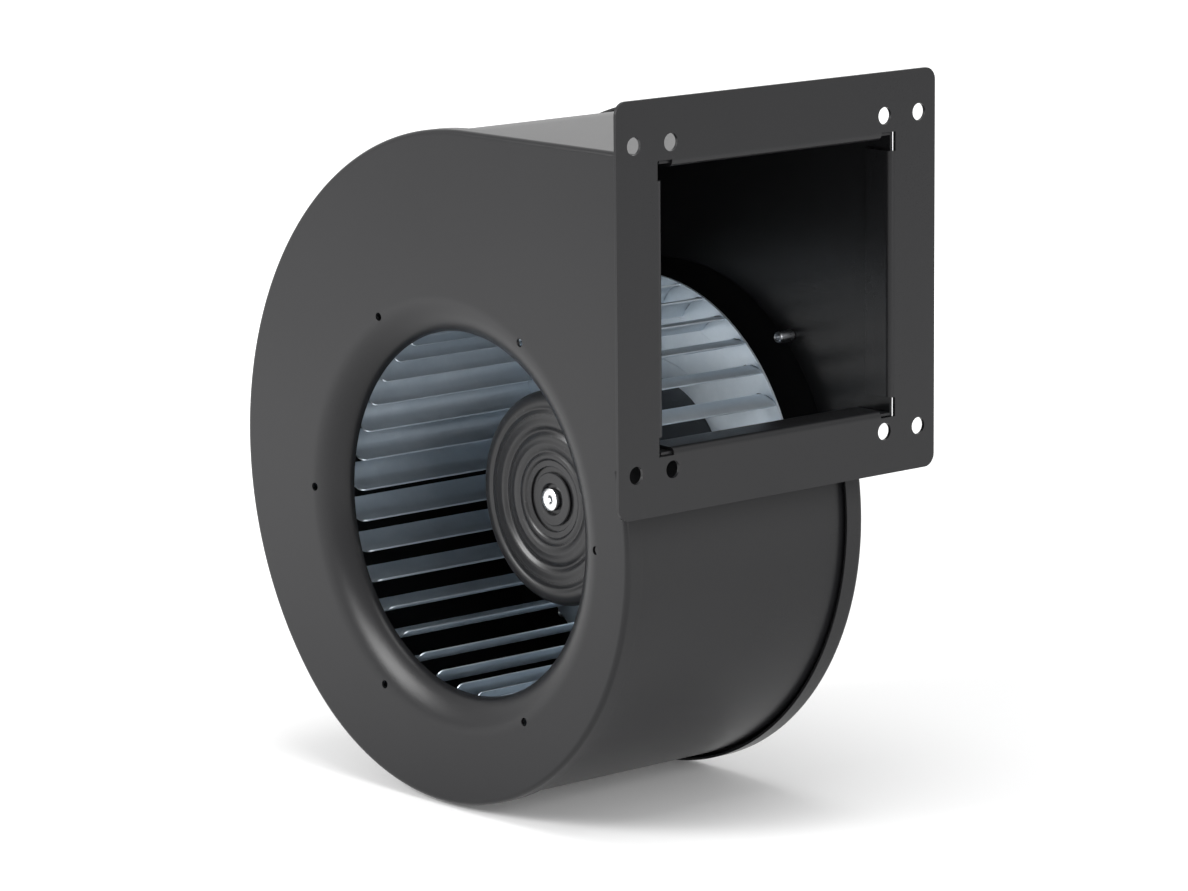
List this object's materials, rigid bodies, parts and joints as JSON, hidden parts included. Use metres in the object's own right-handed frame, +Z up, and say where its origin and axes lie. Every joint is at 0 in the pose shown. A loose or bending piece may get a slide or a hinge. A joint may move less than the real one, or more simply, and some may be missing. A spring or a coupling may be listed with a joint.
{
  "type": "dc blower fan",
  "caption": "Single-inlet centrifugal blower: folded black steel scroll with bell-mouth inlet and flanged outlet, galvanised forward-curved wheel on an external-rotor motor.",
  "frame": {"origin": "where the shaft axis meets the outer face of the inlet plate, the centre of the guard-hole circle", "axes": "+X towards the outlet flange, +Y along the shaft into the body away from the inlet, +Z up"},
  "size_m": [0.2186, 0.141, 0.2517],
  "materials": {
    "black_powder_coat": "satin black powder coat with a very fine texture",
    "galvanised_sheet": "galvanised steel sheet, bluish grey, softly streaked",
    "black_e_coat": "semi-gloss black electrocoat",
    "zinc_fastener": "bright zinc plate",
    "bright_steel": "ground bright steel",
    "spring_steel": "blackened spring steel",
    "cage_brass": "stamped brass",
    "cast_aluminium": "as-cast aluminium",
    "grey_plastic": "moulded dark grey plastic",
    "black_rubber": "moulded black rubber",
    "lamination_steel": "varnished electrical steel",
    "nylon": "natural glass-filled nylon",
    "enamelled_copper": "enamelled copper wire",
    "board_laminate": "green solder mask on laminate",
    "capacitor_sleeve": "dark shrink sleeve",
    "chip_epoxy": "moulded black epoxy",
    "ferrite": "dark grey sintered ferrite"
  },
  "bodies": {
    "housing": {"inlet_plate": "black_powder_coat", "scroll_wrap": "black_powder_coat", "rear_plate": "black_powder_coat", "outlet_flange": "black_powder_coat", "carrier_plate": "black_powder_coat", "carrier_rivets": "zinc_fastener", "motor_flange": "cast_aluminium", "motor_screws": "zinc_fastener", "bearing_cap": "grey_plastic", "cable_grommet": "black_rubber", "stator_core": "lamination_steel", "front_insulator": "nylon", "rear_insulator": "nylon", "stator_coils": "enamelled_copper", "driver_board": "board_laminate", "board_capacitors": "capacitor_sleeve", "board_chips": "chip_epoxy", "bearing_outer_rings": "bright_steel", "bearing_shields": "bright_steel", "preload_washer": "spring_steel"},
    "rotor": {"impeller_disc": "galvanised_sheet", "impeller_ring": "galvanised_sheet", "impeller_blades": "galvanised_sheet", "impeller_hub": "black_e_coat", "hub_rivets": "zinc_fastener", "rotor_can": "black_e_coat", "rotor_bush": "black_e_coat", "rotor_magnets": "ferrite", "motor_shaft": "bright_steel", "bearing_inner_rings": "bright_steel", "shaft_circlip": "spring_steel"},
    "ball_cages": {"bearing_balls": "bright_steel", "bearing_cages": "cage_brass"}
  },
  "joints": [
    {"name": "impeller_spin", "type": "hinge", "parent": "housing", "child": "rotor", "pos_m": [0, 0.052, 0], "axis": [0, 1, 0], "continuous": true},
    {"name": "cage_spin", "type": "hinge", "parent": "housing", "child": "ball_cages", "pos_m": [0, 0.052, 0], "axis": [0, 1, 0], "continuous": true}
  ],
  "couplings": [
    {"joint": "cage_spin", "follows": "impeller_spin", "ratio": 0.3733}
  ]
}
